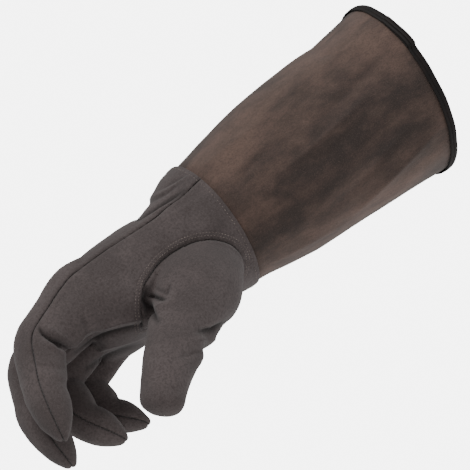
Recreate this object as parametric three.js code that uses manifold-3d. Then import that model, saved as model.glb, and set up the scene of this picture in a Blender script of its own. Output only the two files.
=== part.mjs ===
import * as THREE from "three";
import Module from "manifold-3d";
import { mergeVertices } from "three/addons/utils/BufferGeometryUtils.js";

// A long gauntlet gardening glove for the right hand, worn open as a hand fills it. Millimetres.
// The forearm lies along X with its cuff at +X, the back of the hand faces +Z, and the thumb is on the -Y side.
// The origin is the middle of the wrist seam, where the hand part is sewn over the suede gauntlet.

const wasm = await Module();
wasm.setup();

// Driving sizes
const WALL = 2;
const CLEARANCE = 0.3;
const WRIST_RADIUS = 45;
const GAUNTLET_LENGTH = 152;
const CUFF_RADIUS = 58;
const CUFF_SLANT = 6; // the cuff's end reaches this much further over the back than at its middle
const LAP = 10;
const BINDING_WIDTH = 6;
const BINDING_THICKNESS = 1.4;

// Facets
const BACK_STEPS = 7;
const PALM_STEPS = 11;
const GAUNTLET_POINTS = 26;

// Where the seam between back and palm lies on each side, as an angle up from the side of a section.
const SEAM_ANGLE = THREE.MathUtils.degToRad(17);

// The palm and back of the hand, from the wrist seam to just past the knuckles, a row for each section.
// back and pad are how far a section reaches over and under its middle, and droop how far its far side hangs.
const PALM_ROWS = [
  { at: 0, side: 0, rise: 0, wide: WRIST_RADIUS - 2, back: WRIST_RADIUS - 1.5, pad: WRIST_RADIUS, droop: 0 },
  { at: 14, side: 0, rise: 0, wide: 43, back: 37.5, pad: 42, droop: 0 },
  { at: 30, side: 0, rise: 1, wide: 43, back: 30, pad: 35, droop: 2 },
  { at: 38, side: 0, rise: 1, wide: 43, back: 27.5, pad: 33, droop: 3 },
  { at: 60, side: 0, rise: 2, wide: 44, back: 27, pad: 29, droop: 8 },
  { at: 84, side: -1, rise: 3, wide: 43.5, back: 24, pad: 26, droop: 12 },
  { at: 100, side: -1, rise: 3, wide: 41, back: 19.5, pad: 21, droop: 14 },
  { at: 106, side: -1, rise: 3, wide: 37, back: 13, pad: 14, droop: 14 },
];

// The fingers: knuckle is the middle of each one's root joint. Lengths run from joint to joint and to the tip,
// bends are the turns at the three joints, lean tips the plane that the finger curls in towards the thumb,
// and web is how far the palm stands out under its root.
const FINGERS = [
  {
    name: "index",
    knuckle: [-97, -31, 7],
    lengths: [43, 28, 34],
    bends: [22, 39, 10],
    spread: 3,
    lean: 0,
    wide: 11.5,
    thick: 14.5,
    web: 16,
  },
  {
    name: "middle",
    knuckle: [-100, -10.5, 5],
    lengths: [46, 31, 34],
    bends: [18, 44, 24],
    spread: 0,
    lean: 2,
    wide: 11.5,
    thick: 14,
    web: 9,
  },
  {
    name: "ring",
    knuckle: [-95, 10.5, 0],
    lengths: [42, 27, 30],
    bends: [26, 59, 28],
    spread: -2,
    lean: 4,
    wide: 11,
    thick: 13.5,
    web: 7,
  },
  {
    name: "little",
    knuckle: [-88, 30, -7],
    lengths: [33, 22, 27],
    bends: [28, 63, 30],
    spread: -5,
    lean: 8,
    wide: 10,
    thick: 12.5,
    web: 4,
  },
];
const FINGER_ROOT = 26;
const BEND_LENGTH = 16;

// How full a finger is along its way: at counts joints, so -1 is its root in the palm, 0 the knuckle and 3 the tip.
const FINGER_ROWS = [
  { at: -1, wide: 0.7, back: 0.7, pad: 0.7, web: 0.9 },
  { at: 0, wide: 0.98, back: 1.03, pad: 1.05, web: 1 },
  { at: 0.5, wide: 1.0, back: 1.0, pad: 1.0, web: 0.5 },
  { at: 1, wide: 1.0, back: 1.02, pad: 0.95, web: 0 },
  { at: 1.3, wide: 1.0, back: 1.0, pad: 1.05, web: 0 },
  { at: 2, wide: 0.98, back: 0.93, pad: 1.0, web: 0 },
  { at: 2.5, wide: 0.92, back: 0.82, pad: 0.88, web: 0 },
  { at: 3, wide: 0.84, back: 0.6, pad: 0.6, web: 0 },
];

// The thumb, from deep in the heel of the hand to its tip, a row for each section.
const THUMB_TIP = 18;
const THUMB_ROWS = [
  { at: 0, x: -18, y: -15, z: -20, wide: 20, thick: 18 },
  { at: 32, x: -43, y: -25, z: -36, wide: 26.5, thick: 23.5 },
  { at: 50, x: -57, y: -31, z: -45.5, wide: 22.5, thick: 20 },
  { at: 67, x: -71, y: -36, z: -54.5, wide: 18.5, thick: 16.5 },
  { at: 93, x: -90, y: -43, z: -71, wide: 16.5, thick: 14.5 },
  { at: 127, x: -114.5, y: -50, z: -91.5, wide: 13.5, thick: 10 },
];

const GAUNTLET_ROWS = [
  { at: -LAP, rise: -1, wide: WRIST_RADIUS - 8, thick: WRIST_RADIUS - 10.5 },
  { at: 0, rise: -0.7, wide: WRIST_RADIUS - 5, thick: WRIST_RADIUS - 4.2 },
  { at: 8, rise: -0.4, wide: WRIST_RADIUS - 3, thick: WRIST_RADIUS - 2.5 },
  { at: 45, rise: 0, wide: 47.5, thick: 48.2 },
  { at: 95, rise: 0.8, wide: 52, thick: 52.4 },
  { at: GAUNTLET_LENGTH, rise: 1, wide: CUFF_RADIUS - 2, thick: CUFF_RADIUS - 1 },
];

// The main folds and dents, a row for each. A fold lies at a place along its limb (counted as in the limb's own
// table) and at an angle around the section, up from the thumb side in degrees. It stands out by its height, or
// in if that is negative, and dies away over its reach along the limb and its spread around it.
const FOLDS = [
  { on: "palm", at: 82, angle: -56, height: 14, reach: 30, spread: 28 }, // ridge under the index root
  { on: "palm", at: 27, angle: 72, height: -1.6, reach: 5, spread: 34 }, // dent where the wrist bends back
  { on: "palm", at: 12, angle: 60, height: 1.4, reach: 6, spread: 26 }, // roll of leather behind that dent
  { on: "finger", at: 1.06, angle: -70, height: -2.6, reach: 0.16, spread: 42 }, // crease inside the first joint
  { on: "finger", at: 2.05, angle: -80, height: -1.2, reach: 0.16, spread: 40 }, // crease inside the last joint
  { on: "thumb", at: 71, angle: 0, height: -2.4, reach: 6, spread: 40 }, // notch at the thumb's joint
  { on: "thumb", at: 44, angle: -150, height: -2.2, reach: 9, spread: 30 }, // dimple beside the crotch
  { on: "gauntlet", at: 118, angle: 62, height: -1.6, reach: 16, spread: 26 }, // shallow waves in the cuff
  { on: "gauntlet", at: 60, angle: 75, height: 1.4, reach: 26, spread: 30 },
  { on: "gauntlet", at: 55, angle: -72, height: 1.4, reach: 22, spread: 26 },
  { on: "gauntlet", at: 105, angle: -75, height: 1.2, reach: 22, spread: 26 },
  { on: "gauntlet", at: 80, angle: 5, height: -1.8, reach: 45, spread: 20 },
];

// The value of one column at a place along a table, eased through the rows beside it.
function along(rows, at, column) {
  const last = rows.length - 1;
  if (at <= rows[0].at) return rows[0][column];
  if (at >= rows[last].at) return rows[last][column];
  let i = 0;
  while (rows[i + 1].at < at) i++;
  const slope = (j) => {
    const before = rows[Math.max(j - 1, 0)];
    const after = rows[Math.min(j + 1, last)];
    return (after[column] - before[column]) / (after.at - before.at);
  };
  const span = rows[i + 1].at - rows[i].at;
  const t = (at - rows[i].at) / span;
  return (
    (2 * t ** 3 - 3 * t ** 2 + 1) * rows[i][column] +
    (t ** 3 - 2 * t ** 2 + t) * span * slope(i) +
    (3 * t ** 2 - 2 * t ** 3) * rows[i + 1][column] +
    (t ** 3 - t ** 2) * span * slope(i + 1)
  );
}

// How far the folds move a limb's surface outward at a place and an angle.
function folded(limb, at, angle) {
  let sum = 0;
  for (const fold of FOLDS) {
    if (fold.on !== limb) continue;
    const away = Math.abs(THREE.MathUtils.euclideanModulo(THREE.MathUtils.radToDeg(angle) - fold.angle + 180, 360) - 180);
    sum += fold.height * Math.exp(-(((at - fold.at) / fold.reach) ** 2) - (away / fold.spread) ** 2);
  }
  return sum;
}

const smooth = (t) => {
  const u = Math.min(Math.max(t, 0), 1);
  return u * u * (3 - 2 * u);
};

// How much is left of a section at a share t of the way over a rounded end.
const ogive = (t) => Math.sqrt(Math.max(1 - t ** 2.2, 0));

const middle = (ring) => ring.reduce((sum, point) => sum.add(point), new THREE.Vector3()).divideScalar(ring.length);

// A closed solid through rings of equal point counts. Its far end is flat unless a tip is given.
function skin(rings, tip = middle(rings.at(-1))) {
  const count = rings[0].length;
  const points = [middle(rings[0]), ...rings.flat(), tip];
  const index = [];
  const id = (ring, k) => 1 + ring * count + (k % count);
  const end = points.length - 1;
  for (let k = 0; k < count; k++) {
    index.push(0, id(0, k + 1), id(0, k));
    index.push(end, id(rings.length - 1, k), id(rings.length - 1, k + 1));
    for (let r = 0; r + 1 < rings.length; r++) {
      index.push(id(r, k), id(r, k + 1), id(r + 1, k + 1));
      index.push(id(r, k), id(r + 1, k + 1), id(r + 1, k));
    }
  }
  const geometry = new THREE.BufferGeometry().setFromPoints(points);
  geometry.setIndex(index);
  return toSolid(geometry);
}

function toSolid(geometry) {
  const merged = mergeVertices(geometry, 1e-4);
  const made = (flip) => {
    const triVerts = new Uint32Array(merged.index.array);
    for (let i = 0; flip && i < triVerts.length; i += 3) {
      [triVerts[i + 1], triVerts[i + 2]] = [triVerts[i + 2], triVerts[i + 1]];
    }
    return new wasm.Manifold(new wasm.Mesh({ numProp: 3, vertProperties: merged.attributes.position.array, triVerts }));
  };
  const solid = made(false);
  return solid.volume() < 0 ? made(true) : solid;
}

function toMesh(name, solid, material) {
  const { vertProperties, triVerts, numProp, numVert } = solid.getMesh();
  const position = new Float32Array(numVert * 3);
  for (let i = 0; i < numVert; i++) position.set(vertProperties.subarray(i * numProp, i * numProp + 3), i * 3);
  const geometry = new THREE.BufferGeometry();
  geometry.setAttribute("position", new THREE.BufferAttribute(position, 3));
  geometry.setIndex(new THREE.BufferAttribute(triVerts, 1));
  geometry.computeVertexNormals();
  const mesh = new THREE.Mesh(geometry, material);
  mesh.name = name;
  return mesh;
}

// Back and palm are moved half a clearance apart. Where a back is grown to cut the palm, its seam edge drops too.
const APART = { whole: 0, back: 0.5 * CLEARANCE, palm: -0.5 * CLEARANCE };
const seamDrop = (part, grow) => (part === "back" && grow > 0 ? 1.5 * grow : 0);

// A section ring. Its angle runs from the thumb side of the limb up over its back.
// part is whole, back or palm: the last two stop at the side seams.
function ring({ limb, at, centre, radial, dorsal, wide, back, pad, left = 1, droop = 0, grow }, part) {
  const seam = SEAM_ANGLE;
  const drop = seamDrop(part, grow);
  const over = Array.from({ length: BACK_STEPS + 1 }, (_, k) => seam + ((Math.PI - 2 * seam) * k) / BACK_STEPS);
  const under = Array.from({ length: PALM_STEPS + 1 }, (_, k) => Math.PI - seam + ((Math.PI + 2 * seam) * k) / PALM_STEPS);
  const angles = { whole: [...over, ...under.slice(1, -1)], back: over, palm: under }[part];
  const points = [];
  for (const angle of angles) {
    const across = Math.cos(angle);
    const up = Math.sin(angle);
    const fold = folded(limb, at, angle);
    const out = (wide + fold) * left * across;
    const height = ((up > 0 ? back : pad) + fold) * left * up + APART[part] - droop * ((1 - across) / 2) ** 2;
    points.push(centre.clone().addScaledVector(radial, out).addScaledVector(dorsal, height));
  }
  if (drop > 0) {
    points.unshift(points[0].clone().addScaledVector(dorsal, -drop));
    points.push(points.at(-1).clone().addScaledVector(dorsal, -drop));
  }
  return points;
}

// The palm: straight along -X.
function palmSection(at, grow) {
  return {
    limb: "palm",
    at,
    centre: new THREE.Vector3(-at, along(PALM_ROWS, at, "side"), along(PALM_ROWS, at, "rise")),
    radial: new THREE.Vector3(0, -1, 0),
    dorsal: new THREE.Vector3(0, 0, 1),
    wide: along(PALM_ROWS, at, "wide") + grow,
    back: along(PALM_ROWS, at, "back") + grow,
    pad: along(PALM_ROWS, at, "pad") + grow,
    droop: along(PALM_ROWS, at, "droop"),
    grow,
  };
}

function palmSolid(part, grow) {
  const end = PALM_ROWS.at(-1).at;
  // A hollow runs on out through the wrist.
  const start = grow < 0 ? [-LAP, 0] : [-grow];
  const stations = [...start, 8, 18, 27, 36, 48, 60, 72, 84, 93, 100, end + Math.min(grow, 0)];
  const rings = stations.map((at) => ring(palmSection(at, grow), part));
  return skin(rings);
}

// A finger: its heading turns at each joint by that joint's bend, spread over BEND_LENGTH.
function fingerPath(finger) {
  const spread = THREE.MathUtils.degToRad(finger.spread);
  const lean = THREE.MathUtils.degToRad(finger.lean);
  const ahead = new THREE.Vector3(-Math.cos(spread), -Math.sin(spread), 0);
  const down = new THREE.Vector3(0, -Math.sin(lean), -Math.cos(lean));
  const radial = new THREE.Vector3().crossVectors(ahead, down).normalize();
  const joints = [0, finger.lengths[0], finger.lengths[0] + finger.lengths[1]];
  const heading = (s) =>
    joints.reduce(
      (sum, joint, j) => sum + THREE.MathUtils.degToRad(finger.bends[j]) * smooth((s - joint) / BEND_LENGTH + 0.5),
      0,
    );
  const length = finger.lengths.reduce((a, b) => a + b, 0);
  const step = 1;
  const points = [new THREE.Vector3(...finger.knuckle).addScaledVector(ahead, -FINGER_ROOT)];
  for (let s = -FINGER_ROOT; s < length + 4; s += step) {
    const turn = heading(s + step / 2);
    points.push(
      points.at(-1).clone().addScaledVector(ahead, step * Math.cos(turn)).addScaledVector(down, step * Math.sin(turn)),
    );
  }
  // The joint count at a length: -1 at the root, 0 at the knuckle, 3 at the tip.
  const stops = [-FINGER_ROOT, ...joints, length];
  const jointAt = (s) => {
    let i = 0;
    while (i < 3 && stops[i + 1] < s) i++;
    return i - 1 + (s - stops[i]) / (stops[i + 1] - stops[i]);
  };
  return { length, jointAt, heading, points, step, ahead, down, radial };
}

function fingerSection(finger, path, s, grow) {
  const place = (s + FINGER_ROOT) / path.step;
  const i = Math.min(Math.max(Math.floor(place), 0), path.points.length - 2);
  const turn = path.heading(s);
  const tipLength = 1.5 * finger.thick;
  const end = path.length + grow;
  const left = ogive(Math.max((s - (end - tipLength)) / tipLength, 0));
  const at = path.jointAt(Math.min(s, path.length));
  return {
    limb: "finger",
    at,
    centre: path.points[i].clone().lerp(path.points[i + 1], place - i),
    radial: path.radial,
    dorsal: path.ahead.clone().multiplyScalar(Math.sin(turn)).addScaledVector(path.down, -Math.cos(turn)),
    wide: finger.wide * along(FINGER_ROWS, at, "wide") + grow,
    back: finger.thick * along(FINGER_ROWS, at, "back") + grow,
    pad: finger.thick * along(FINGER_ROWS, at, "pad") + finger.web * along(FINGER_ROWS, at, "web") + grow,
    left,
    grow,
  };
}

function fingerSolid(finger, part, grow) {
  const path = fingerPath(finger);
  const [first, second] = finger.lengths;
  const end = path.length + grow;
  const tipLength = 1.5 * finger.thick;
  const stations = [
    -FINGER_ROOT - Math.max(grow, 0),
    -FINGER_ROOT / 2,
    -6,
    4,
    first / 2,
    first - 8,
    first - 2,
    first + 4,
    first + 10,
    first + second - 6,
    first + second + 4,
    end - tipLength,
    end - 0.6 * tipLength,
    end - 0.28 * tipLength,
    end - 0.08 * tipLength,
  ];
  const rings = stations.map((s) => ring(fingerSection(finger, path, s, grow), part));
  const tip = fingerSection(finger, path, end, grow);
  return skin(rings, tip.centre.addScaledVector(tip.dorsal, APART[part] - seamDrop(part, grow)));
}

function thumbSection(at, grow) {
  const place = (s) => new THREE.Vector3(...["x", "y", "z"].map((column) => along(THUMB_ROWS, s, column)));
  const last = THUMB_ROWS.at(-1).at;
  const on = Math.min(at, last);
  const ahead = place(Math.min(on + 2, last)).sub(place(Math.min(on, last - 2))).normalize();
  const radial = new THREE.Vector3(0, -1, 0).cross(ahead).normalize();
  return {
    limb: "thumb",
    at,
    centre: place(on).addScaledVector(ahead, at - on),
    radial,
    dorsal: new THREE.Vector3().crossVectors(ahead, radial).normalize(),
    wide: along(THUMB_ROWS, at, "wide") + grow,
    back: along(THUMB_ROWS, at, "thick") + grow,
    pad: along(THUMB_ROWS, at, "thick") + grow,
    left: ogive(Math.max((at - (last + grow - THUMB_TIP)) / THUMB_TIP, 0)),
    grow,
  };
}

function thumbSolid(grow) {
  const end = THUMB_ROWS.at(-1).at + grow;
  const stations = [0, 10, 20, 30, 39, 48, 57, 66, 73, 80, 93, end - THUMB_TIP];
  for (const share of [0.6, 0.28, 0.08]) stations.push(end - share * THUMB_TIP);
  const rings = stations.map((at) => ring(thumbSection(at, grow), "whole"));
  return skin(rings, thumbSection(end, grow).centre);
}

// A round sleeve solid along +X between two places on the gauntlet's table.
function sleeve(from, to, grow) {
  const stations = [];
  const count = Math.max(2, Math.round((to - from) / 13));
  for (let i = 0; i <= count; i++) stations.push(from + ((to - from) * i) / count);
  const rings = stations.map((x) => {
    const wide = along(GAUNTLET_ROWS, x, "wide") + grow;
    const thick = along(GAUNTLET_ROWS, x, "thick") + grow;
    const rise = along(GAUNTLET_ROWS, x, "rise");
    const points = [];
    for (let k = 0; k < GAUNTLET_POINTS; k++) {
      const angle = (2 * Math.PI * k) / GAUNTLET_POINTS;
      const fold = folded("gauntlet", x, angle);
      const lead = (CUFF_SLANT * Math.max(x, 0)) / GAUNTLET_LENGTH;
      points.push(
        new THREE.Vector3(
          x + lead * Math.sin(angle),
          -(wide + fold) * Math.cos(angle),
          rise + (thick + fold) * Math.sin(angle),
        ),
      );
    }
    return points;
  });
  return skin(rings);
}

const union = (solids) => solids.reduce((a, b) => a.add(b));

const handHollow = union([
  palmSolid("whole", -WALL),
  ...FINGERS.map((finger) => fingerSolid(finger, "whole", -WALL)),
  thumbSolid(-WALL),
]);
const handPart = (part, grow) => union([palmSolid(part, grow), ...FINGERS.map((f) => fingerSolid(f, part, grow))]);

const backPanel = handPart("back", 0).subtract(handHollow);
const palmPanel = handPart("palm", 0).subtract(handHollow).subtract(handPart("back", CLEARANCE));
const thumbPanel = thumbSolid(0).subtract(handHollow).subtract(handPart("whole", CLEARANCE));

const gauntlet = sleeve(-LAP, GAUNTLET_LENGTH, 0).subtract(sleeve(-LAP - 2, GAUNTLET_LENGTH + 2, -WALL));
const bindingStart = GAUNTLET_LENGTH - BINDING_WIDTH;
const bindingEnd = GAUNTLET_LENGTH + CLEARANCE + BINDING_THICKNESS;
const binding = sleeve(bindingStart, bindingEnd, CLEARANCE + BINDING_THICKNESS)
  .subtract(sleeve(bindingStart - 1, bindingEnd + 1, -WALL - CLEARANCE - BINDING_THICKNESS))
  .subtract(
    sleeve(bindingStart - 1, GAUNTLET_LENGTH + CLEARANCE, CLEARANCE).subtract(
      sleeve(bindingStart - 2, GAUNTLET_LENGTH + 1, -WALL - CLEARANCE),
    ),
  );

const handLeather = new THREE.MeshStandardMaterial({ color: 0x524a48, roughness: 0.9, metalness: 0 });
const suede = new THREE.MeshStandardMaterial({ color: 0x554840, roughness: 0.95, metalness: 0 });
const tape = new THREE.MeshStandardMaterial({ color: 0x1b1613, roughness: 0.7, metalness: 0 });

const glove = new THREE.Group();
glove.add(
  toMesh("back_panel", backPanel, handLeather),
  toMesh("palm_panel", palmPanel, handLeather),
  toMesh("thumb_panel", thumbPanel, handLeather),
  toMesh("gauntlet", gauntlet, suede),
  toMesh("cuff_binding", binding, tape),
);

export default glove;
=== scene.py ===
# %% [markdown]
# A waterproof gardening glove with a long gauntlet
#
# The real glove is cut from flat pieces of soft leather: a back, a palm, a thumb, and a tall suede cuff bound with
# dark tape. Sewn together and filled out by a hand it is all round tubes that run into each other. Here each limb is
# a tube worked out with numpy, the tubes are melted into one skin, and the skin is then cut along the seams. Modelling
# it by hand with a subdivision surface would also work, but tubes keep every finger where the frame has it.

import bpy
import numpy as np
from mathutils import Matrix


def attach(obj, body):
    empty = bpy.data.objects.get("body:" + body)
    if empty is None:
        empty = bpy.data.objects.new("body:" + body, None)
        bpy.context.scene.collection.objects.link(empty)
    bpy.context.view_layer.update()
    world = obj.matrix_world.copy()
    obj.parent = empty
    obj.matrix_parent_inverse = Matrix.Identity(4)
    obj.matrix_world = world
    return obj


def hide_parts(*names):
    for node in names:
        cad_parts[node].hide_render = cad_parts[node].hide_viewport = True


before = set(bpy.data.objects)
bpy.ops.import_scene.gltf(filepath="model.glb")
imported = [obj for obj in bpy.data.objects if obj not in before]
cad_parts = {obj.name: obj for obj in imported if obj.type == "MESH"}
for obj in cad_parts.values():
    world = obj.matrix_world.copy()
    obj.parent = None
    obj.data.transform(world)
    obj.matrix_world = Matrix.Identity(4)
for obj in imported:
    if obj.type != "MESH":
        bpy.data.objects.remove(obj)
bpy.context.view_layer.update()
MM = 0.001

# %% [markdown]
# The camera comes first, because some folds are placed where they are seen. It looks up at the glove from a little
# below its thumb side and is rolled, as one does to fit a long thing across a square picture. Its three axes are
# worked out from those angles. An empty with a track constraint could aim it too, but would not give the roll.

# %% Camera
AZIMUTH, ELEVATION, ROLL, DISTANCE, MM_PER_PIXEL = np.radians(-20), np.radians(-20), np.radians(43.2), 1300.0, 0.6
PICTURE = 470  # pixels across
CENTRE = PICTURE / 2
back = np.array([np.sin(AZIMUTH) * np.cos(ELEVATION), -np.cos(AZIMUTH) * np.cos(ELEVATION), np.sin(ELEVATION)])
level = np.array([np.cos(AZIMUTH), np.sin(AZIMUTH), 0])
right = np.cos(ROLL) * level - np.sin(ROLL) * np.cross(back, level)
up = np.sin(ROLL) * level + np.cos(ROLL) * np.cross(back, level)
WRIST_PIXEL = np.array([213.0, 226.0])
aim = (CENTRE - WRIST_PIXEL[0]) * MM_PER_PIXEL * right - (CENTRE - WRIST_PIXEL[1]) * MM_PER_PIXEL * up
eye = aim + DISTANCE * back

camera = bpy.data.objects.new("camera", bpy.data.cameras.new("camera"))
bpy.context.scene.collection.objects.link(camera)
bpy.context.scene.camera = camera
camera.data.sensor_width, camera.data.lens = 36, 36 * DISTANCE / (PICTURE * MM_PER_PIXEL)
camera.data.clip_start, camera.data.clip_end = 0.05, 20
pose = np.eye(4)
pose[:3, 0], pose[:3, 1], pose[:3, 2], pose[:3, 3] = right, up, back, eye * MM
camera.matrix_world = pose.T.tolist()
print("lens, mm:", round(camera.data.lens, 1))


def pixels(points):
    """Where points in millimetres fall in the picture: the offsets across the view, times the lens, over the depth."""
    away = points - eye
    reach = DISTANCE / MM_PER_PIXEL / -(away @ back)
    return np.stack([CENTRE + reach * (away @ right), CENTRE - reach * (away @ up)], axis=-1)


# %% [markdown]
# Each limb is described by a short table, a row for each section, and every value in between is eased through the
# rows. These are the frame's own numbers, in millimetres, so the leather ends up where the frame's solids are; only the
# ends of the fingers and the heel of the hand are trimmed by a millimetre or two.

# %% Tables
WALL, SEAM = 2.0, np.radians(17)
PALM = np.array([  # at, side, rise, wide, back, pad, droop
    [-14, 0, 0, 43, 43.5, 43.6, 0], [0, 0, 0, 43, 43.5, 43.6, 0], [14, 0, 0, 43, 37.5, 41, 0],
    [30, 0, 1, 43, 30, 35, 2], [38, 0, 1, 43, 27.5, 33, 3], [60, 0, 2, 44, 27, 29, 8],
    [84, -1, 3, 43.5, 24, 26, 12], [100, -1, 3, 41, 19.5, 21, 14], [106, -1, 3, 37, 13, 14, 14],
])
FINGERS = {  # knuckle, lengths between joints, bends in degrees, spread, lean, wide, thick, web
    "index": ((-97, -31, 7), (43, 28, 34), (22, 39, 10), 3, 0, 11.5, 14.5, 16),
    "middle": ((-100, -10.5, 5), (46, 31, 37), (18, 44, 22), 0, 2, 11.5, 14, 9),
    "ring": ((-95, 10.5, 0), (42, 27, 30), (26, 59, 28), -2, 4, 11, 13.5, 7),
    "little": ((-88, 30, -7), (33, 22, 27), (28, 63, 30), -5, 8, 10, 12.5, 4),
}
FINGER_FORM = np.array([  # joints passed, wide, back, pad, web
    [-1, 0.7, 0.7, 0.7, 0.9], [0, 0.98, 1.03, 1.05, 1], [0.5, 1, 1, 1, 0.5], [1, 1, 1.02, 0.95, 0],
    [1.3, 1, 1, 1, 0], [2, 0.97, 0.92, 0.88, 0], [2.5, 0.9, 0.8, 0.72, 0], [3, 0.8, 0.58, 0.5, 0],
])
THUMB = np.array([  # at, x, y, z, wide, thick
    [0, -18, -15, -20, 20, 18], [32, -43, -25, -36, 26.5, 23.5], [50, -57, -31, -45.5, 22.5, 20],
    [67, -71, -36, -54.5, 18.5, 16], [93, -91.5, -43, -70, 15.2, 13.5], [127, -114.5, -50, -91, 12.4, 9],
])
GAUNTLET = np.array([  # at, rise, wide, thick
    [-10, -1, 37, 34.5], [0, -0.7, 40, 40.8], [8, -0.4, 42, 42.5], [45, 0, 47.5, 48.2], [95, 0.8, 52, 52.4],
    [152, 1, 56, 57],
])
FOLDS = [  # limb, at, angle, height, reach, spread
    ("palm", 82, -56, 14, 30, 28), ("palm", 27, 72, -1.6, 5, 34), ("palm", 12, 60, 1.4, 6, 26),
    ("finger", 1.06, -70, -2.6, 0.16, 42), ("finger", 2.05, -80, -1.2, 0.16, 40),
    ("thumb", 71, 0, -2.4, 6, 40), ("thumb", 44, -150, -2.2, 9, 30),
    ("gauntlet", 118, 62, -1.6, 16, 26), ("gauntlet", 60, 75, 1.4, 26, 30), ("gauntlet", 55, -72, 1.4, 22, 26),
    ("gauntlet", 105, -75, 1.2, 22, 26), ("gauntlet", 80, 5, -1.8, 45, 20),
]


def along(table, at):
    """A table's columns at places along it: a cubic through each pair of rows, with the slopes of the rows beside."""
    x, y = table[:, 0], table[:, 1:]
    slope = np.empty_like(y)
    slope[1:-1] = (y[2:] - y[:-2]) / (x[2:] - x[:-2])[:, None]
    slope[0], slope[-1] = (y[1] - y[0]) / (x[1] - x[0]), (y[-1] - y[-2]) / (x[-1] - x[-2])
    i = np.clip(np.searchsorted(x, at, "right") - 1, 0, len(x) - 2)
    span = (x[i + 1] - x[i])[..., None]
    t = np.clip((at - x[i])[..., None] / span, 0, 1)
    start, end = (2 * t**3 - 3 * t**2 + 1) * y[i], (3 * t**2 - 2 * t**3) * y[i + 1]
    return start + end + span * ((t**3 - 2 * t**2 + t) * slope[i] + (t**3 - t**2) * slope[i + 1])


def ease(t):
    """0 below 0, 1 above 1, and a smooth S between."""
    t = np.clip(t, 0, 1)
    return t * t * (3 - 2 * t)


def folded(limb, at, angle):
    """How far the folds stand out: the sum of bells in the place along a limb and in the angle around it."""
    total = np.zeros(np.broadcast(at, angle).shape)
    for name, place, turn, height, reach, spread in FOLDS:
        if name == limb:
            away = np.abs((np.degrees(angle) - turn + 180) % 360 - 180)
            total += height * np.exp(-(((at - place) / reach) ** 2) - (away / spread) ** 2)
    return total


# %% [markdown]
# A limb becomes a row of closely spaced sections: a middle, a sideways and a dorsal direction, and how wide and deep
# the glove is there. A finger's heading turns a little at each joint, and adding up small steps gives its path.

# %% Limbs
ROOT, JOINT_REACH = 26, 16  # how far a finger starts inside the palm, and the length over which a joint bends


def rounded(at, end, tip, blunt=2.2, point=0.58):
    """What is left of a section near its end: (1 - t to the power blunt) to the power point, t the share of the tip."""
    return np.clip(1 - np.clip((at - end + tip) / tip, 0, 1) ** blunt, 0, 1) ** point


def limb(kind, at, form, middle, side, dorsal, wide, back_, pad, droop, left):
    """Gathers a limb's arrays. form is the place that its folds are counted in."""
    full = np.ones(len(at))
    return dict(kind=kind, at=at, form=form * full, middle=middle, side=side * full[:, None],
                dorsal=dorsal * full[:, None], wide=wide * full, back=back_ * full, pad=pad * full,
                droop=droop * full, left=left * full)


def palm_limb():
    at = np.arange(-12, 106.01, 1.0)
    side, rise, wide, back_, pad, droop = along(PALM, at).T
    middle = np.stack([-at, side, rise], axis=1)
    return limb("palm", at, at, middle, np.array([[0, -1, 0]]), np.array([[0, 0, 1]]), wide, back_, pad, droop, 1.0)


def finger_limb(name):
    knuckle, lengths, bends, spread, lean, wide, thick, web = FINGERS[name]
    spread, lean, bends = np.radians(spread), np.radians(lean), np.radians(bends)
    ahead = np.array([-np.cos(spread), -np.sin(spread), 0])
    down = np.array([0, -np.sin(lean), -np.cos(lean)])
    joints, length = np.cumsum([0, lengths[0], lengths[1]]), sum(lengths)
    at = np.append(np.arange(-ROOT, length, 1.0), length)
    turn = lambda s: sum(bend * ease((s - joint) / JOINT_REACH + 0.5) for bend, joint in zip(bends, joints))
    halfway = turn(at[:-1] + 0.5)[:, None]
    step = np.diff(at)[:, None] * (np.cos(halfway) * ahead + np.sin(halfway) * down)
    middle = np.array(knuckle) - ROOT * ahead + np.vstack([np.zeros(3), np.cumsum(step, axis=0)])
    form = np.interp(at, [-ROOT, *joints, length], [-1, 0, 1, 2, 3])
    wide_, back_, pad, web_ = along(FINGER_FORM, form).T
    side = np.cross(ahead, down)
    dorsal = np.sin(turn(at))[:, None] * ahead - np.cos(turn(at))[:, None] * down
    left = rounded(at, length, 1.5 * thick)
    return limb("finger", at, form, middle, side / np.linalg.norm(side), dorsal, wide * wide_, thick * back_,
                thick * pad + web * web_, 0.0, left)


def thumb_limb():
    at = np.arange(0, 127.01, 1.0)
    middle, (wide, thick) = along(THUMB, at)[:, :3], along(THUMB, at)[:, 3:].T
    ahead = np.gradient(middle, axis=0)
    ahead /= np.linalg.norm(ahead, axis=1, keepdims=True)
    side = np.cross(np.array([0, -1, 0]), ahead)
    side /= np.linalg.norm(side, axis=1, keepdims=True)
    left = rounded(at, 126.5, 12, 4.2, 0.42)
    return limb("thumb", at, at, middle, side, np.cross(ahead, side), wide, thick, thick, 0.0, left)


LIMBS = {"palm": palm_limb(), **{name: finger_limb(name) for name in FINGERS}, "thumb": thumb_limb()}
print("limb lengths, mm:", {name: round(float(l["at"][-1])) for name, l in LIMBS.items()})


# %% [markdown]
# A tube is then one formula over two numbers, the place along a limb and the angle around it. The arrays of points
# and the table of faces between neighbours go straight into a mesh.

# %% Tubes
def tube(l, around=72):
    """Points of a limb's skin: sideways by the width times the cosine, up or down by the depth times the sine."""
    angle = np.linspace(0, 2 * np.pi, around, endpoint=False)[None, :]
    fold = folded(l["kind"], l["form"][:, None], angle)
    across, rise = np.cos(angle), np.sin(angle)
    deep = np.where(rise > 0, l["back"][:, None], l["pad"][:, None])
    out = (l["wide"][:, None] + fold) * l["left"][:, None] * across
    high = (deep + fold) * l["left"][:, None] * rise - l["droop"][:, None] * ((1 - across) / 2) ** 2
    return l["middle"][:, None] + out[..., None] * l["side"][:, None] + high[..., None] * l["dorsal"][:, None]


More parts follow.
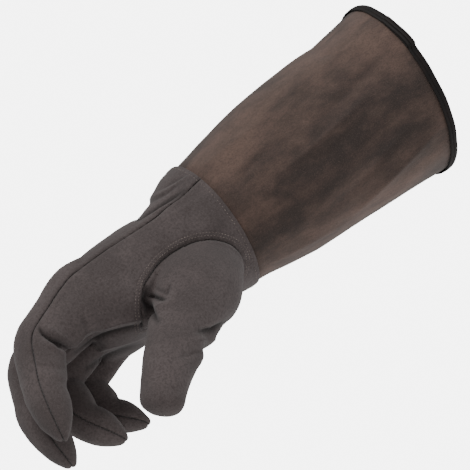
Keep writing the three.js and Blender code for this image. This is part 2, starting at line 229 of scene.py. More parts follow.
def grid_faces(rows, columns, closed=True):
    """Quads between neighbouring points of a grid whose columns run round."""
    i, j = np.meshgrid(np.arange(rows - 1), np.arange(columns if closed else columns - 1), indexing="ij")
    a, b = i * columns + j, i * columns + (j + 1) % columns
    return np.stack([a, b, b + columns, a + columns], axis=-1).reshape(-1, 4)


def mesh_object(name, points, faces):
    """Makes an object at the origin from points in millimetres and rows of faces."""
    mesh = bpy.data.meshes.new(name)
    mesh.from_pydata(points.reshape(-1, 3) * MM, [], faces.tolist())
    mesh.update()
    made = bpy.data.objects.new(name, mesh)
    bpy.context.scene.collection.objects.link(made)
    return made


def closed_tube(points):
    """A tube with a fan over each end: its points, and its faces as triangles."""
    rows, columns = points.shape[:2]
    quads = grid_faces(rows, columns)
    ring = np.arange(columns)
    first, last = rows * columns, rows * columns + 1
    end = (rows - 1) * columns
    caps = [np.stack([np.full(columns, first), (ring + 1) % columns, ring], axis=1),
            np.stack([np.full(columns, last), end + ring, end + (ring + 1) % columns], axis=1)]
    everything = np.vstack([points.reshape(-1, 3), points[0].mean(0), points[-1].mean(0)])
    return everything, np.vstack([quads[:, [0, 1, 2]], quads[:, [0, 2, 3]], *caps])


def melted(parts, voxel):
    """One skin round overlapping closed tubes: they are filled with small cubes and wrapped anew."""
    points, faces, count = [], [], 0
    for p, f in parts:
        points.append(p)
        faces.append(f + count)
        count += len(p)
    source = mesh_object("melting", np.vstack(points), np.vstack(faces))
    remesh = source.modifiers.new("melt", "REMESH")
    remesh.mode, remesh.voxel_size, remesh.adaptivity = "VOXEL", voxel * MM, 0
    made = source.evaluated_get(bpy.context.evaluated_depsgraph_get()).to_mesh()
    co = np.empty(len(made.vertices) * 3)
    made.vertices.foreach_get("co", co)
    made.calc_loop_triangles()
    tri = np.empty(len(made.loop_triangles) * 3, int)
    made.loop_triangles.foreach_get("vertices", tri)
    bpy.data.objects.remove(source)
    return co.reshape(-1, 3) / MM, tri.reshape(-1, 3)


VOXEL = 0.94
skin, triangles = melted([closed_tube(tube(l)) for l in LIMBS.values()], VOXEL)
print("melted skin:", len(skin), "points")


# %% Smoothing and normals
def edges_of(tri):
    """Each edge of a triangle mesh once."""
    return np.unique(np.sort(np.vstack([tri[:, [0, 1]], tri[:, [1, 2]], tri[:, [2, 0]]]), axis=1), axis=0)


def smoothed(points, edges, times, share=0.5):
    """Moves each point towards the mean of its neighbours, again and again."""
    count = np.bincount(edges.ravel(), minlength=len(points))[:, None]
    a, b = edges.T
    for _ in range(times):
        total = np.stack([np.bincount(a, points[b, k], len(points)) + np.bincount(b, points[a, k], len(points))
                          for k in range(3)], axis=1)
        points = points + share * (total / np.maximum(count, 1) - points)
    return points


def normals_of(points, tri):
    """Each point's normal: the sum of its triangles' cross products, made unit length."""
    face = np.cross(points[tri[:, 1]] - points[tri[:, 0]], points[tri[:, 2]] - points[tri[:, 0]])
    total = np.stack([sum(np.bincount(tri[:, c], face[:, k], len(points)) for c in range(3))
                      for k in range(3)], axis=1)
    return total / np.maximum(np.linalg.norm(total, axis=1, keepdims=True), 1e-9)


edges = edges_of(triangles)
SKIN_PASSES, FIELD_PASSES = 7, 8
skin = smoothed(skin, edges, SKIN_PASSES)
normals = normals_of(skin, triangles)


# %% [markdown]
# To sew and fold the skin, each of its points has to know which limb it belongs to, and where on it. The nearest
# section gives that. The same numbers tell the back from the palm: the side seam runs a little above the middle of
# every section, and the thumb's seam is where the thumb's tube and the rest of the hand are equally near.

# %% Where each point lies
BLOCK = 20000  # points compared at once
LEAST = 0.2  # the least share of a section's size that offsets are measured by


def locate(l, points):
    """A point's place along a limb, how far outside its tube it is, and how far above its side seam. The tube stops at
    its last section, so the distance past that counts too."""
    nearest = np.empty(len(points), int)
    for low in range(0, len(points), BLOCK):
        part = points[low:low + BLOCK]
        far = (part**2).sum(1)[:, None] - 2 * part @ l["middle"].T + (l["middle"]**2).sum(1)[None]
        nearest[low:low + BLOCK] = far.argmin(1)
    away = points - l["middle"][nearest]
    out, rise = (away * l["side"][nearest]).sum(1), (away * l["dorsal"][nearest]).sum(1)
    past = np.sqrt(np.maximum((away**2).sum(1) - out**2 - rise**2, 0)) * (nearest == len(l["at"]) - 1)
    left = np.maximum(l["left"][nearest], LEAST)
    wide = l["wide"][nearest] * left
    high = rise + l["droop"][nearest] * ((1 - np.clip(out / wide, -1, 1)) / 2) ** 2
    deep = np.where(high > 0, l["back"][nearest], l["pad"][nearest]) * left
    outside = (np.hypot(out / wide, high / deep) - 1) * np.minimum(wide, deep) + np.maximum(past - 1, 0)
    seam = high - l["back"][nearest] * l["left"][nearest] * np.sin(SEAM)
    return dict(at=l["at"][nearest], outside=outside, seam=seam)


places = {name: locate(l, skin) for name, l in LIMBS.items()}
hand_names = ["palm", *FINGERS]
outside = np.stack([places[name]["outside"] for name in hand_names])
BLEND = 2.5  # mm over which one limb's side seam passes into the next one's
weight = np.exp(-np.clip(outside - outside.min(0), 0, 30) / BLEND)
side_field = (weight * np.stack([places[name]["seam"] for name in hand_names])).sum(0) / weight.sum(0)
thumb_field = outside.min(0) - places["thumb"]["outside"]
thumb_field = np.where(places["thumb"]["at"] < 1, -5, thumb_field)  # behind the thumb's start all is palm
side_field, thumb_field = [smoothed(np.repeat(field[:, None], 3, axis=1), edges, FIELD_PASSES)[:, 0]
                           for field in (side_field, thumb_field)]
owner = np.array(hand_names + ["thumb"])[np.vstack([outside, places["thumb"]["outside"][None]]).argmin(0)]
print("points on each limb:", {str(n): int((owner == n).sum()) for n in np.unique(owner)})


# %% [markdown]
# A seam on soft leather is a narrow valley with a soft roll on each side, because the thread pulls the edges in. The
# valley is pressed into the skin by each point's distance from the seam's line.

# %% Seams
def crossing(points, edges, field):
    """Points where a field changes sign along the edges of a mesh."""
    a, b = field[edges[:, 0]], field[edges[:, 1]]
    cut = edges[(a < 0) != (b < 0)]
    share = (field[cut[:, 0]] / (field[cut[:, 0]] - field[cut[:, 1]]))[:, None]
    return points[cut[:, 0]] * (1 - share) + points[cut[:, 1]] * share


REACH = 9.0  # mm, the furthest that a distance from a seam is measured


def distance_to(points, cloud, reach=REACH):
    """Each point's distance to the nearest point of a cloud, up to a reach, block by block."""
    best = np.full(len(points), reach)
    near = np.ones(len(points), bool)
    for axis in range(3):
        low, high = cloud[:, axis].min() - reach, cloud[:, axis].max() + reach
        near &= (points[:, axis] > low) & (points[:, axis] < high)
    index = np.flatnonzero(near)
    for low in range(0, len(index), 4000):
        part = index[low:low + 4000]
        p = points[part]
        close = cloud[(cloud > p.min(0) - reach).all(1) & (cloud < p.max(0) + reach).all(1)]
        if len(close):
            far = (p**2).sum(1)[:, None] - 2 * p @ close.T + (close**2).sum(1)[None]
            best[part] = np.minimum(best[part], np.sqrt(np.maximum(far.min(1), 0)))
    return best


side_line = crossing(skin, edges, side_field)
side_line = side_line[side_line[:, 0] < 0]
thumb_line = crossing(skin, edges, thumb_field)
is_thumb = thumb_field > 0
to_side = np.where(is_thumb, REACH, distance_to(skin, side_line))
to_thumb = distance_to(skin, thumb_line)
print("seam clouds:", len(side_line), len(thumb_line))


def valley(distance, depth, width, roll):
    """A narrow bell pressed in at the seam, and a low bell raised beside it."""
    beside = (distance - 3.2 * width) / (1.6 * width)
    return -depth * np.exp(-((distance / width) ** 2)) + roll * np.exp(-(beside**2))


# %% [markdown]
# Leather that bends buckles into folds. The ones that catch the eye are placed along short lines in the picture's own
# frame, each on the limb that carries it. A point's distance from the line, measured as it is seen, gives its height.

# %% Folds in the skin
LINES = [  # limbs, line in the picture, height, width in mm
    (("palm",), [(126, 215), (137, 218), (150, 211), (166, 201), (184, 190)], -2.8, 1.5),
    (("palm",), [(136, 208), (154, 198), (176, 184), (192, 174)], 1.6, 2.0),
    (("palm",), [(146, 205), (164, 194), (182, 182)], -1.7, 1.3),
    (("palm",), [(144, 219), (160, 210), (180, 199)], 1.3, 1.7),
    (("palm",), [(156, 192), (172, 182), (186, 175)], -1.5, 1.5),
    (("palm",), [(150, 226), (176, 212), (206, 196)], 0.7, 2.2),
    (("palm",), [(236, 258), (246, 262), (256, 274)], -1.1, 2.4),
    (("palm",), [(226, 214), (240, 232), (250, 252)], -0.6, 4.0),
    (("index",), [(39, 328), (43, 334), (51, 340), (69, 350)], -3.2, 1.0),
    (("index",), [(42, 341), (54, 348), (69, 356)], 1.7, 1.7),
    (("index",), [(45, 327), (57, 334), (75, 344)], 1.9, 1.6),
    (("index",), [(54, 341), (58, 347), (60, 354)], -1.2, 1.0),
    (("index",), [(30, 364), (44, 367), (62, 368)], -0.9, 2.4),
    (("index",), [(46, 372), (58, 376), (68, 380)], 0.7, 2.0),
    (("palm", "index"), [(82, 318), (88, 328), (84, 338)], -1.4, 1.4),
    (("palm", "index", "middle"), [(68, 351), (89, 330), (120, 322), (152, 316)], 2.8, 1.7),
    (("palm", "index", "middle"), [(76, 352), (100, 337), (128, 330), (150, 324)], -2.9, 1.9),
    (("palm", "index", "middle"), [(82, 359), (106, 346), (132, 339), (150, 333)], 2.2, 1.8),
    (("palm", "middle", "ring"), [(88, 368), (112, 356), (140, 344)], -2.4, 2.6),
    (("palm", "thumb"), [(147, 288), (146, 300), (150, 312), (156, 320)], -4.4, 2.0),
    (("thumb",), [(148, 294), (157, 298), (165, 299)], -3.0, 1.3),
    (("thumb",), [(156, 288), (166, 293), (170, 284)], -1.8, 1.5),
    (("thumb",), [(152, 308), (162, 305), (174, 300)], 1.6, 2.0),
    (("thumb",), [(226, 322), (214, 330), (200, 331)], -3.6, 1.7),
    (("thumb",), [(217, 338), (206, 339), (190, 342)], 1.6, 2.0),
    (("thumb",), [(214, 340), (205, 354), (196, 370)], 2.4, 4.0),
    (("thumb",), [(206, 350), (194, 352), (180, 358)], -1.2, 1.8),
    (("thumb",), [(188, 388), (176, 390), (160, 388)], -0.6, 3.0),
    (("gauntlet",), [(282, 172), (312, 148), (345, 118), (372, 92)], 1.6, 2.8),
    (("gauntlet",), [(306, 172), (336, 146), (372, 112)], -1.7, 6.5),
    (("gauntlet",), [(318, 122), (348, 92), (380, 60)], -1.4, 5.5),
    (("gauntlet",), [(352, 216), (392, 178), (440, 128)], 1.7, 3.0),
    (("gauntlet",), [(330, 212), (372, 172), (410, 128)], -1.4, 6.0),
    (("gauntlet",), [(272, 262), (310, 242), (350, 220)], 1.4, 3.6),
    (("gauntlet",), [(196, 172), (226, 150), (262, 120)], 1.0, 5.0),
    (("gauntlet",), [(232, 190), (246, 170), (268, 150)], -1.0, 4.0),
    (("gauntlet",), [(300, 40), (316, 52), (336, 56)], -1.0, 4.0),
    (("gauntlet",), [(268, 118), (280, 140), (286, 160)], -0.8, 5.0),
]


def line_distance(spots, line):
    """Distance of picture points from a line of short pieces, and the share of the line passed at the nearest point."""
    best, share = np.full(len(spots), 1e9), np.zeros(len(spots))
    pieces = len(line) - 1
    for k in range(pieces):
        a, b = np.array(line[k], float), np.array(line[k + 1], float)
        t = np.clip((spots - a) @ (b - a) / ((b - a) @ (b - a)), 0, 1)
        far = np.linalg.norm(spots - a - t[:, None] * (b - a), axis=1)
        share, best = np.where(far < best, (k + t) / pieces, share), np.minimum(far, best)
    return best, share


def noise(points, size, seed):
    """Soft noise from -1 to 1: seeded random values at the corners of cubes, eased between the corners."""
    table = np.random.default_rng(seed).uniform(-1, 1, (32, 32, 32))
    cell = np.floor(points / size).astype(int)
    t = ease(points / size - cell)
    total = 0
    for corner in np.ndindex(2, 2, 2):
        i = (cell + corner) % 32
        total = total + table[i[:, 0], i[:, 1], i[:, 2]] * np.prod(np.where(corner, t, 1 - t), axis=1)
    return total


def creases(points, normals, limb_of):
    """Each point's height from the folds: bells across each line with a sharper peak than a Gaussian, tapering at the
    line's ends, on the side of the limb that the line is seen on. Also how dark the deepest ones are painted: painted
    shade, with some dust."""
    spots, facing = pixels(points), ease((normals @ back + 0.3) / 0.5)
    total, shade = np.zeros(len(points)), np.zeros(len(points))
    for limbs, line, rise, width in LINES:
        far, share = line_distance(spots, line)
        taper = np.sqrt(np.sin(np.pi * np.clip(share, 0.03, 0.97))) * facing * np.isin(limb_of, limbs)
        far = far * MM_PER_PIXEL / width
        total += taper * rise * np.exp(-(far**1.3))
        # painted shade: the deepest valleys get a dark colour where shadow falls in them, with some dust
        dark = np.clip((-1 - rise) / 1.6, 0, 1)
        shade = np.maximum(shade, taper**0.5 * dark * np.exp(-((far / (0.5 + 0.12 * abs(rise))) ** 2)))
    return total, shade


ROWS = (2.3, 4.1)  # mm from the thumb's seam to its two rows of stitches
creased, crease_shade = creases(skin, normals, owner)
height = valley(to_side, 0.45, 0.8, 0.25) + valley(to_thumb, 0.6, 0.9, 0.3) + creased
height -= np.where(is_thumb, 0, 0.3 * sum(np.exp(-(((to_thumb - row) / 0.7) ** 2)) for row in ROWS))
height += 0.55 * noise(skin, 19, 1) + 0.22 * noise(skin * [1, 1.6, 1.6], 9, 2) + 0.06 * noise(skin, 4, 3)
skin = skin + height[:, None] * normals
print("folds reach from", round(float(height.min()), 1), "to", round(float(height.max()), 1), "mm")


# %% [markdown]
# Now the skin is cut into the glove's pieces along the seams. A triangle that a seam crosses is cut in two, so the
# edges are clean lines. Each piece then gets its thickness from a Solidify modifier, inwards.

# %% Cutting the panels
def clipped(points, tri, field, extra):
    """The part of a mesh where a field is above 0. Crossed edges get a point where the field is 0, shared by both
    triangles beside the edge. extra holds more columns for each point, which are cut the same way."""
    data = np.hstack([points, extra])
    inside = field > 0
    some = inside[tri]
    whole = tri[some.all(1)]
    mixed = tri[some.any(1) & ~some.all(1)]
    lone = np.where(inside[mixed].sum(1) == 1, inside[mixed].argmax(1), inside[mixed].argmin(1))
    turned = np.stack([mixed[np.arange(len(mixed)), (lone + k) % 3] for k in range(3)], axis=1)
    crossed = np.sort(np.vstack([turned[:, [0, 1]], turned[:, [0, 2]]]), axis=1)
    unique, which = np.unique(crossed, axis=0, return_inverse=True)
    share = (field[unique[:, 0]] / (field[unique[:, 0]] - field[unique[:, 1]]))[:, None]
    data = np.vstack([data, data[unique[:, 0]] * (1 - share) + data[unique[:, 1]] * share])
    p, q = (len(points) + which.reshape(-1)).reshape(2, -1)
    single = inside[turned[:, 0]]
    ones = np.stack([turned[:, 0], p, q], axis=1)[single]
    twos = np.vstack([np.stack([p, turned[:, 1], turned[:, 2]], axis=1)[~single],
                      np.stack([p, turned[:, 2], q], axis=1)[~single]])
    faces = np.vstack([whole, ones, twos])
    faces = faces[(faces[:, 0] != faces[:, 1]) & (faces[:, 1] != faces[:, 2]) & (faces[:, 2] != faces[:, 0])]
    used, renumbered = np.unique(faces, return_inverse=True)
    return data[used, :3], renumbered.reshape(-1, 3), data[used, 3:]


def attribute(made, name, values):
    """Keeps one number for each point in the mesh, for its material to read."""
    made.data.attributes.new(name, "FLOAT", "POINT").data.foreach_set("value", values.astype(np.float32))


def finish_piece(made, node, thickness=0.0):
    """Shades a piece smooth, rides it on the body and lets it stand for its node."""
    made.data.polygons.foreach_set("use_smooth", np.ones(len(made.data.polygons), bool))
    if thickness:
        wall = made.modifiers.new("wall", "SOLIDIFY")
        wall.thickness, wall.offset = thickness * MM, -1
    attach(made, "root")
    if node:
        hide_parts(node)
    return made


SEAM_DEEP, SEAM_NARROW = 0.7, 0.3  # a sharp groove right at the cut edge, in mm
normals = normals_of(skin, triangles)
fields = np.hstack([side_field[:, None], thumb_field[:, None], normals, crease_shade[:, None]])
HAND_END = -0.2  # the hand part stops here, just short of the middle of the wrist seam
open_skin, open_triangles, open_fields = clipped(skin, triangles, HAND_END - skin[:, 0], fields)
hand_pieces = {}
for name, node in (("thumb_leather", "thumb_panel"), ("back_leather", "back_panel"), ("palm_leather", "palm_panel")):
    if name == "thumb_leather":
        p, t, f = clipped(open_skin, open_triangles, open_fields[:, 1], open_fields)
        from_seam = np.abs(f[:, 1])
    else:
        p, t, f = clipped(open_skin, open_triangles, -open_fields[:, 1], open_fields)
        p, t, f = clipped(p, t, f[:, 0] if name == "back_leather" else -f[:, 0], f)
        from_seam = np.abs(f[:, :2]).min(1)
    groove = np.exp(-((from_seam / SEAM_NARROW) ** 2))
    made = mesh_object(name, p - SEAM_DEEP * groove[:, None] * f[:, 2:5], t)
    attribute(made, "seam", groove)
    # the painted shade of the deepest folds, with some dust, kept on each point for the material
    attribute(made, "crease_shade_and_dust", f[:, 5])
    hand_pieces[name] = finish_piece(made, node, WALL)
    print(name, len(t), "triangles in its outer skin")


# %% [markdown]
# The gauntlet is a tall cone of thick suede. It is a grid over the place along it and the angle around it, with broad
# soft waves, because suede is too stiff for small ones. Its far end slants a little: it reaches further over the back.

# %% Gauntlet
SLANT, LENGTH = 6.0, 152.0


def sleeve(at, angle, out=0.0):
    """Points of the gauntlet: an ellipse at each place, larger towards the cuff, with folds, slanted at its end."""
    rise, wide, thick = np.moveaxis(along(GAUNTLET, at), -1, 0)
    fold = folded("gauntlet", at, angle) + out
    x = at + SLANT * np.maximum(at, 0) / LENGTH * np.sin(angle)
    return np.stack([x, -(wide + fold) * np.cos(angle), rise + (thick + fold) * np.sin(angle)], axis=-1)


rows, columns = ((150, 300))
at, angle = np.meshgrid(np.linspace(-9.5, LENGTH - 0.4, rows),
                        np.linspace(0, 2 * np.pi, columns, endpoint=False), indexing="ij")
cone = sleeve(at, angle).reshape(-1, 3)
outward = (cone - cone * [1, 0, 0]) / np.linalg.norm(cone[:, 1:], axis=1, keepdims=True)
waves = 0.8 * noise(cone * [0.4, 1, 1], 20, 5) + 0.2 * noise(cone * [0.7, 1, 1], 8, 6)
waves += creases(cone, outward, np.full(len(cone), "gauntlet"))[0]
held = ease(at / 12) * (1 - 0.75 * ease((at - LENGTH + 16) / 14))
cone = sleeve(at, angle, waves.reshape(at.shape) * held - 0.3 * (1 - ease(at / 6)))
gauntlet = mesh_object("gauntlet_suede", cone, grid_faces(rows, columns)[:, ::-1])
finish_piece(gauntlet, "gauntlet", WALL)
print("gauntlet faces:", len(gauntlet.data.polygons))

# %% [markdown]
# A folded tape binds the cuff's edge. Its profile is a narrow U that wraps the edge, carried round the cuff. Its end
# laps over its start: a second layer that stands out at once there and lies down gradually.

# %% Cuff binding
TAPE_WIDE, TAPE_THICK = 4.4, 0.7
LAP_ANGLE, LAP = np.radians(-4), 0.45  # where the tape starts round the cuff, and how far its end laps over that
FLAT, BEND = 15, 11  # points across each flat side of the tape and round its fold


def binding(columns):
    """Points of the tape: up along the outside, over the edge in a half circle, and back inside."""
    angle = np.linspace(0, 2 * np.pi + LAP, columns)[None, :]
    lap = ease((angle - 2 * np.pi + 0.02) / 0.02) * (1 - 0.65 * ease((angle - 2 * np.pi) / LAP))
    half = (WALL + 0.2 + 2 * TAPE_THICK) / 2
    bend = np.linspace(-np.pi / 2, np.pi / 2, BEND)
    flat = np.linspace(-TAPE_WIDE, -0.4, FLAT)
    crown = 0.35 * np.abs(np.sin(np.pi * (flat + 0.4) / (TAPE_WIDE - 0.4) * 2)) - 0.1
    along_profile = np.concatenate([flat, 0.2 + half * 0.5 * np.cos(bend), flat[::-1]])[:, None]
    out_profile = np.concatenate([half + crown, half * np.sin(-bend), np.full(FLAT, -half)])[:, None]
    wobble = 0.16 * np.sin(7 * angle + 1) + 0.12 * np.sin(17 * angle) + 0.5 * lap
    place = np.broadcast_to(LENGTH + along_profile, (len(along_profile), columns))
    on_sleeve = sleeve(np.minimum(place, LENGTH), np.broadcast_to(angle + LAP_ANGLE, place.shape),
                       out_profile * (1 + 0.85 * lap) - WALL / 2)
    past_edge = np.maximum(place - LENGTH, 0) + wobble
    return on_sleeve + np.stack([past_edge, 0 * place, 0 * place], axis=-1)


tape = binding(541)
tape_grid = grid_faces(tape.shape[0], tape.shape[1], closed=False)
binding_piece = mesh_object("cuff_tape", tape, tape_grid)
finish_piece(binding_piece, "cuff_binding", 0.5)
print("binding faces:", len(binding_piece.data.polygons))


# %% [markdown]
# The palm is sewn to the thumb with two rows of short stitches, and the hand to the gauntlet with one. Curves with a
# bevel could draw the thread, but separate stitches need only a small closed spindle, repeated along a line that is
# found on the skin itself: the points at the same distance from the seam.

# %% Stitches
STITCH_LONG, STITCH_THICK = 1.35, 0.3
THUMB_PITCH, WRIST_PITCH, WRIST_ROW = 1.9, 2.4, -2.6  # mm between stitches, and where the wrist's row runs


def loop_through(cloud, pitch):
    """Even places round a closed line of scattered points: sorted by their angle round the middle of the line's
    plane, averaged with their neighbours, and spaced by length. Also the line's direction at each place."""
    middle = cloud.mean(0)
    axes = np.linalg.svd(cloud - middle, full_matrices=False)[2]
    flat = (cloud - middle) @ axes[:2].T
    line = cloud[np.argsort(np.arctan2(flat[:, 1], flat[:, 0]))]
    line = line[(np.arange(len(line))[:, None] + np.arange(-5, 6)) % len(line)].mean(1)
    line = np.vstack([line, line[:1]])
    run = np.append(0, np.cumsum(np.linalg.norm(np.diff(line, axis=0), axis=1)))
    spots = np.linspace(0, run[-1], int(run[-1] / pitch), endpoint=False)
    place = np.stack([np.interp(spots, run, line[:, k]) for k in range(3)], axis=1)
    ahead = np.roll(place, -1, axis=0) - np.roll(place, 1, axis=0)
    return place, ahead / np.linalg.norm(ahead, axis=1, keepdims=True)


def outward_at(places):
    """The skin's normal at the point nearest to each place."""
    far = (skin**2).sum(1)[:, None] - 2 * skin @ places.T
    return normals[far.argmin(0)]


def stitched(name, place, ahead, out):
    """One mesh of many spindles. Each runs along its line by u, from -1 to 1, and its ends sink into the leather:
    its thickness falls with u squared, and its height by a third of u squared."""
    out = out - (out * ahead).sum(1, keepdims=True) * ahead
    out /= np.linalg.norm(out, axis=1, keepdims=True)
    u, turn = np.array([-0.8, 0, 0.8])[:, None], np.linspace(0, 2 * np.pi, 6, endpoint=False)[None]
    thick = STITCH_THICK * (1 - 0.6 * u**2)
    one = np.stack([0 * turn + u * STITCH_LONG / 2, thick * np.cos(turn),
                    thick * np.sin(turn) - 0.3 * u**2 + 0.1], axis=-1)
    points, faces = closed_tube(one)
    frames = np.stack([ahead, np.cross(out, ahead), out], axis=1)
    everything = place[:, None] + np.einsum("pk,nkc->npc", points, frames)
    first = len(points) * np.arange(len(place))[:, None, None]
    return finish_piece(mesh_object(name, everything, (faces[None] + first).reshape(-1, 3)), None)


signed = np.where(is_thumb, -to_thumb, to_thumb)
lines = [loop_through(crossing(skin, edges, signed - row), THUMB_PITCH) for row in ROWS]
place, ahead = [np.vstack(parts) for parts in zip(*lines)]
thumb_stitches = stitched("thumb_stitches", place, ahead, outward_at(place))
place, ahead = loop_through(crossing(skin, edges, WRIST_ROW - skin[:, 0]), WRIST_PITCH)
wrist_stitches = stitched("wrist_stitches", place, ahead, outward_at(place))
print("stitches:", len(lines[0][0]) + len(lines[1][0]), "round the thumb,", len(place), "round the wrist")


# %% [markdown]
# Materials. Shader maths reads best as plain expressions, so a small class wraps a socket and adds the Math nodes.

# %% Shader maths
class Value:
    """A socket whose operators add Math nodes."""

    def __init__(self, paint, socket):
        self.paint, self.socket = paint, socket

    def _math(self, operation, *values):
        return self.paint.node("ShaderNodeMath", {"operation": operation}, dict(enumerate(values)))

    def __add__(self, other):
        return self._math("ADD", self, other)

    def __mul__(self, other):
        return self._math("MULTIPLY", self, other)

    def between(self, low, high):
        """0 below low, 1 above high, and smooth between."""
        return self.paint.node("ShaderNodeMapRange", {"interpolation_type": "SMOOTHSTEP"},
                               {"Value": self, "From Min": low, "From Max": high})


class Paint:
    """A material being made."""

    def __init__(self, name):
        self.material = bpy.data.materials.new(name)
        self.material.use_nodes = True
        self.tree = self.material.node_tree
        self.shader = self.tree.nodes["Principled BSDF"]

    def node(self, kind, settings=None, inputs=None, output=0):
        made = self.tree.nodes.new(kind)
        for key, value in (settings or {}).items():
            setattr(made, key, value)
        for key, value in (inputs or {}).items():
            self.set(made.inputs[key], value)
        return Value(self, made.outputs[output])

    def set(self, socket, value):
        if isinstance(value, Value):
            self.tree.links.new(value.socket, socket)
        else:
            socket.default_value = value

    def noise(self, size, stretch=(1, 1, 1), detail=3.0, rough=0.5):
        """Noise on the object's own coordinates, with features about size millimetres across."""
        place = self.node("ShaderNodeTexCoord", output=3)
        place = self.node("ShaderNodeMapping", None, {"Vector": place, "Scale": stretch})
        return self.node("ShaderNodeTexNoise", None, {"Vector": place, "Scale": 1 / (size * MM), "Detail": detail,
                                                      "Roughness": rough})

    def stored(self, name):
        """A number that each point of the mesh holds."""
        return self.node("ShaderNodeAttribute", {"attribute_name": name}, output=2)

    def along(self, direction):
        """How far a point of the object lies along a direction: the dot product, in metres."""
        place = self.node("ShaderNodeTexCoord", output=3)
        return self.node("ShaderNodeVectorMath", {"operation": "DOT_PRODUCT"}, {0: place, 1: direction}, 1)

    def mix(self, share, a, b):
        """From colour a to colour b by a share."""
        made = self.tree.nodes.new("ShaderNodeMix")
        made.data_type = "RGBA"
        for socket, value in ((made.inputs[0], share), (made.inputs[6], a), (made.inputs[7], b)):
            self.set(socket, (*value, 1) if isinstance(value, tuple) else value)
        return Value(self, made.outputs[2])

    def bump(self, height, distance, strength=1.0, under=None):
        """A normal tilted by a height, whose full range stands for a distance in millimetres."""
        inputs = {"Height": height, "Distance": distance * MM, "Strength": strength}
        if under is not None:
            inputs["Normal"] = under
        return self.node("ShaderNodeBump", None, inputs)

    def done(self, color, roughness, normal, sheen=0.0):
        """Sets the shader's sockets. Sheen and gloss are the same all over, so they are plain values."""
        for name, value in (("Base Color", color), ("Roughness", roughness), ("Normal", normal)):
            self.set(self.shader.inputs[name], value)
        self.shader.inputs["Sheen Weight"].default_value = sheen
        self.shader.inputs["Sheen Roughness"].default_value = 0.6
        self.shader.inputs["Specular IOR Level"].default_value = 0.25
        return self.material


def rgb(*srgb):
    """A screen colour from 0 to 255 as the linear colour that the shader wants."""
    c = np.array(srgb) / 255
    return tuple(np.where(c <= 0.04045, c / 12.92, ((c + 0.055) / 1.055) ** 2.4).tolist())


# %% [markdown]
# The hand is a grey-brown nubuck: leather sanded to a short nap, matt, with a fine pebble and cloudy shade. Dirt
# gathers in the seams, so those are darker, and the deepest folds are darkened with painted shade and some dust.

# %% Hand leather
def hand_leather():
    p = Paint("hand_leather")
    cloud, speck, nap = p.noise(26, detail=4), p.noise(1.4, detail=2), p.noise(0.55, detail=1)
    color = p.mix(cloud.between(0.3, 0.7), rgb(68, 60, 59), rgb(84, 75, 74))
    color = p.mix(speck.between(0.35, 0.75) * 0.65, color, rgb(57, 49, 48))
    color = p.mix(nap.between(0.5, 0.75) * 0.35, color, rgb(98, 89, 87))
    color = p.mix(p.stored("seam").between(0.3, 1.0) * 0.75, color, rgb(28, 23, 22))
    # painted shade: the deepest folds are painted near black where shadow falls in them, with some dust
    color = p.mix(p.stored("crease_shade_and_dust") * 0.85, color, rgb(22, 18, 17))
    normal = p.bump(speck, 0.3, 0.6)
    normal = p.bump(nap, 0.22, 0.7, normal)
    return p.done(color, cloud * 0.1 + 0.85, normal, 0.1)


leather = hand_leather()
for piece in hand_pieces.values():
    piece.data.materials.append(leather)


# %% [markdown]
# The thread is spun from two strands, a shade lighter than the leather, and has picked up some dust.

# %% Thread
def thread():
    p = Paint("thread")
    strand, dust = p.noise(0.35, detail=1), p.noise(5, detail=2)
    color = p.mix(dust.between(0.35, 0.7), rgb(98, 88, 85), rgb(126, 115, 110))
    return p.done(color, dust * 0.15 + 0.7, p.bump(strand, 0.1, 0.6))


thread_finish = thread()
for piece in (thumb_stitches, wrist_stitches):
    piece.data.materials.append(thread_finish)


# %% [markdown]
# Suede is the leather's fuzzy inner side. Its nap lies one way or the other, and brushing leaves long lighter and
# darker patches, here noise stretched along the arm. The underside is painted lighter in streaks: painted light from
# below.

# %% Gauntlet suede
def gauntlet_suede():
    p = Paint("gauntlet_suede")
    patch, streak = p.noise(52, (0.45, 1, 1), 5, 0.55), p.noise(15, (0.3, 1, 1), 6, 0.62)
    cloud = p.noise(9, (0.7, 1, 1), 5, 0.6)
    speck, nap = p.noise(0.9, (0.7, 1, 1), 3), p.noise(0.45, detail=1)
    shade = patch * 0.52 + streak * 0.3 + cloud * 0.18
    color = p.mix(shade.between(0.38, 0.64), rgb(45, 36, 33), rgb(96, 76, 67))
    color = p.mix(cloud.between(0.5, 0.85) * 0.3, color, rgb(96, 78, 70))
    color = p.mix(streak.between(0.22, 0.45) * 0.6 + 0.4, rgb(48, 39, 35), color)
    # painted light: the underside is painted lighter, in streaks, standing in for light from below
    below = p.along((-0.108, 0, -1)).between(0.037, 0.045)  # 0.108 is how fast the cone widens towards the cuff
    color = p.mix(below * streak * 0.6, color, rgb(122, 98, 88))
    color = p.mix(speck.between(0.4, 0.7) * 0.4, color, rgb(46, 38, 34))
    color = p.mix(nap.between(0.5, 0.75) * 0.3, color, rgb(108, 90, 81))
    normal = p.bump(streak, 0.9, 0.5)
    normal = p.bump(speck, 0.25, 0.5, normal)
    return p.done(color, shade * 0.1 + 0.86, p.bump(nap, 0.2, 0.6, normal), 0.12)


gauntlet.data.materials.append(gauntlet_suede())


# %% [markdown]
# The binding is a ribbed cotton tape, near black.

# %% Binding tape
def tape_cloth():
    p = Paint("tape_cloth")
    rib, grain = p.noise(0.9, (1, 0.4, 0.4), 2), p.noise(6, detail=3)
    color = p.mix(grain.between(0.35, 0.7), rgb(13, 9, 8), rgb(24, 17, 15))
    return p.done(color, grain * 0.15 + 0.6, p.bump(rib, 0.25, 0.7))


binding_piece.data.materials.append(tape_cloth())

# %% [markdown]
# A pale floor lies well below, because the glove is held up by the wrist in it. The light is soft and comes mostly
# from above the picture's left edge. In a studio the white paper behind is lit by lamps of its own, so it is brighter
# than the light that reaches the object: the world is bright where it is seen, and dimmer as a light.

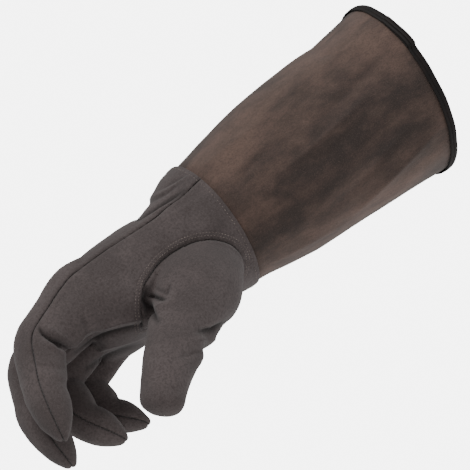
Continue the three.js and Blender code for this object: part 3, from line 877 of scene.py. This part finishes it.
# %% Floor and light
HALF, DOWN = 4000.0, -900.0
corners = np.array([[-HALF, -HALF, DOWN], [HALF, -HALF, DOWN], [HALF, HALF, DOWN], [-HALF, HALF, DOWN]])
floor = mesh_object("floor", corners, np.array([[0, 1, 2, 3]]))
pale = Paint("pale_floor")
pale.shader.inputs["Emission Color"].default_value = (0.8, 0.8, 0.8, 1)
pale.shader.inputs["Emission Strength"].default_value = 0.6
paper = pale.mix(pale.noise(300), (0.8, 0.8, 0.8), (0.84, 0.84, 0.84))
floor.data.materials.append(pale.done(paper, pale.noise(200) * 0.1 + 0.6, pale.bump(pale.noise(2), 0.02)))

world = bpy.data.worlds.new("studio")
world.use_nodes = True
soft_light = world.node_tree.nodes["Background"]
backdrop = world.node_tree.nodes.new("ShaderNodeBackground")
seen = world.node_tree.nodes.new("ShaderNodeLightPath")
either = world.node_tree.nodes.new("ShaderNodeMixShader")
for node, strength in ((soft_light, 0.5), (backdrop, 6.0)):
    node.inputs["Color"].default_value, node.inputs["Strength"].default_value = (1, 1, 1, 1), strength
for output, socket in ((seen.outputs["Is Camera Ray"], either.inputs[0]), (soft_light.outputs[0], either.inputs[1]),
                       (backdrop.outputs[0], either.inputs[2]),
                       (either.outputs[0], world.node_tree.nodes["World Output"].inputs["Surface"])):
    world.node_tree.links.new(output, socket)
bpy.context.scene.world = world


def lamp(name, direction, distance, size, power):
    """A square soft light that looks at the wrist from a direction, given as right, up and back in the view."""
    place = (direction[0] * right + direction[1] * up + direction[2] * back) * distance
    made = bpy.data.objects.new(name, bpy.data.lights.new(name, "AREA"))
    made.data.size, made.data.energy = size, power
    z = place / np.linalg.norm(place)
    x = np.cross([0.1, 0.2, 1], z)  # any direction that no lamp shines along
    x /= np.linalg.norm(x)
    turn = np.eye(4)
    turn[:3, 0], turn[:3, 1], turn[:3, 2], turn[:3, 3] = x, np.cross(z, x), z, place
    made.matrix_world = turn.T.tolist()
    bpy.context.scene.collection.objects.link(made)


lamp("key", (-0.5, 0.85, 0.35), 1.4, 0.6, 15)
lamp("rim", (0.65, -0.75, 0.0), 1.5, 0.5, 8)
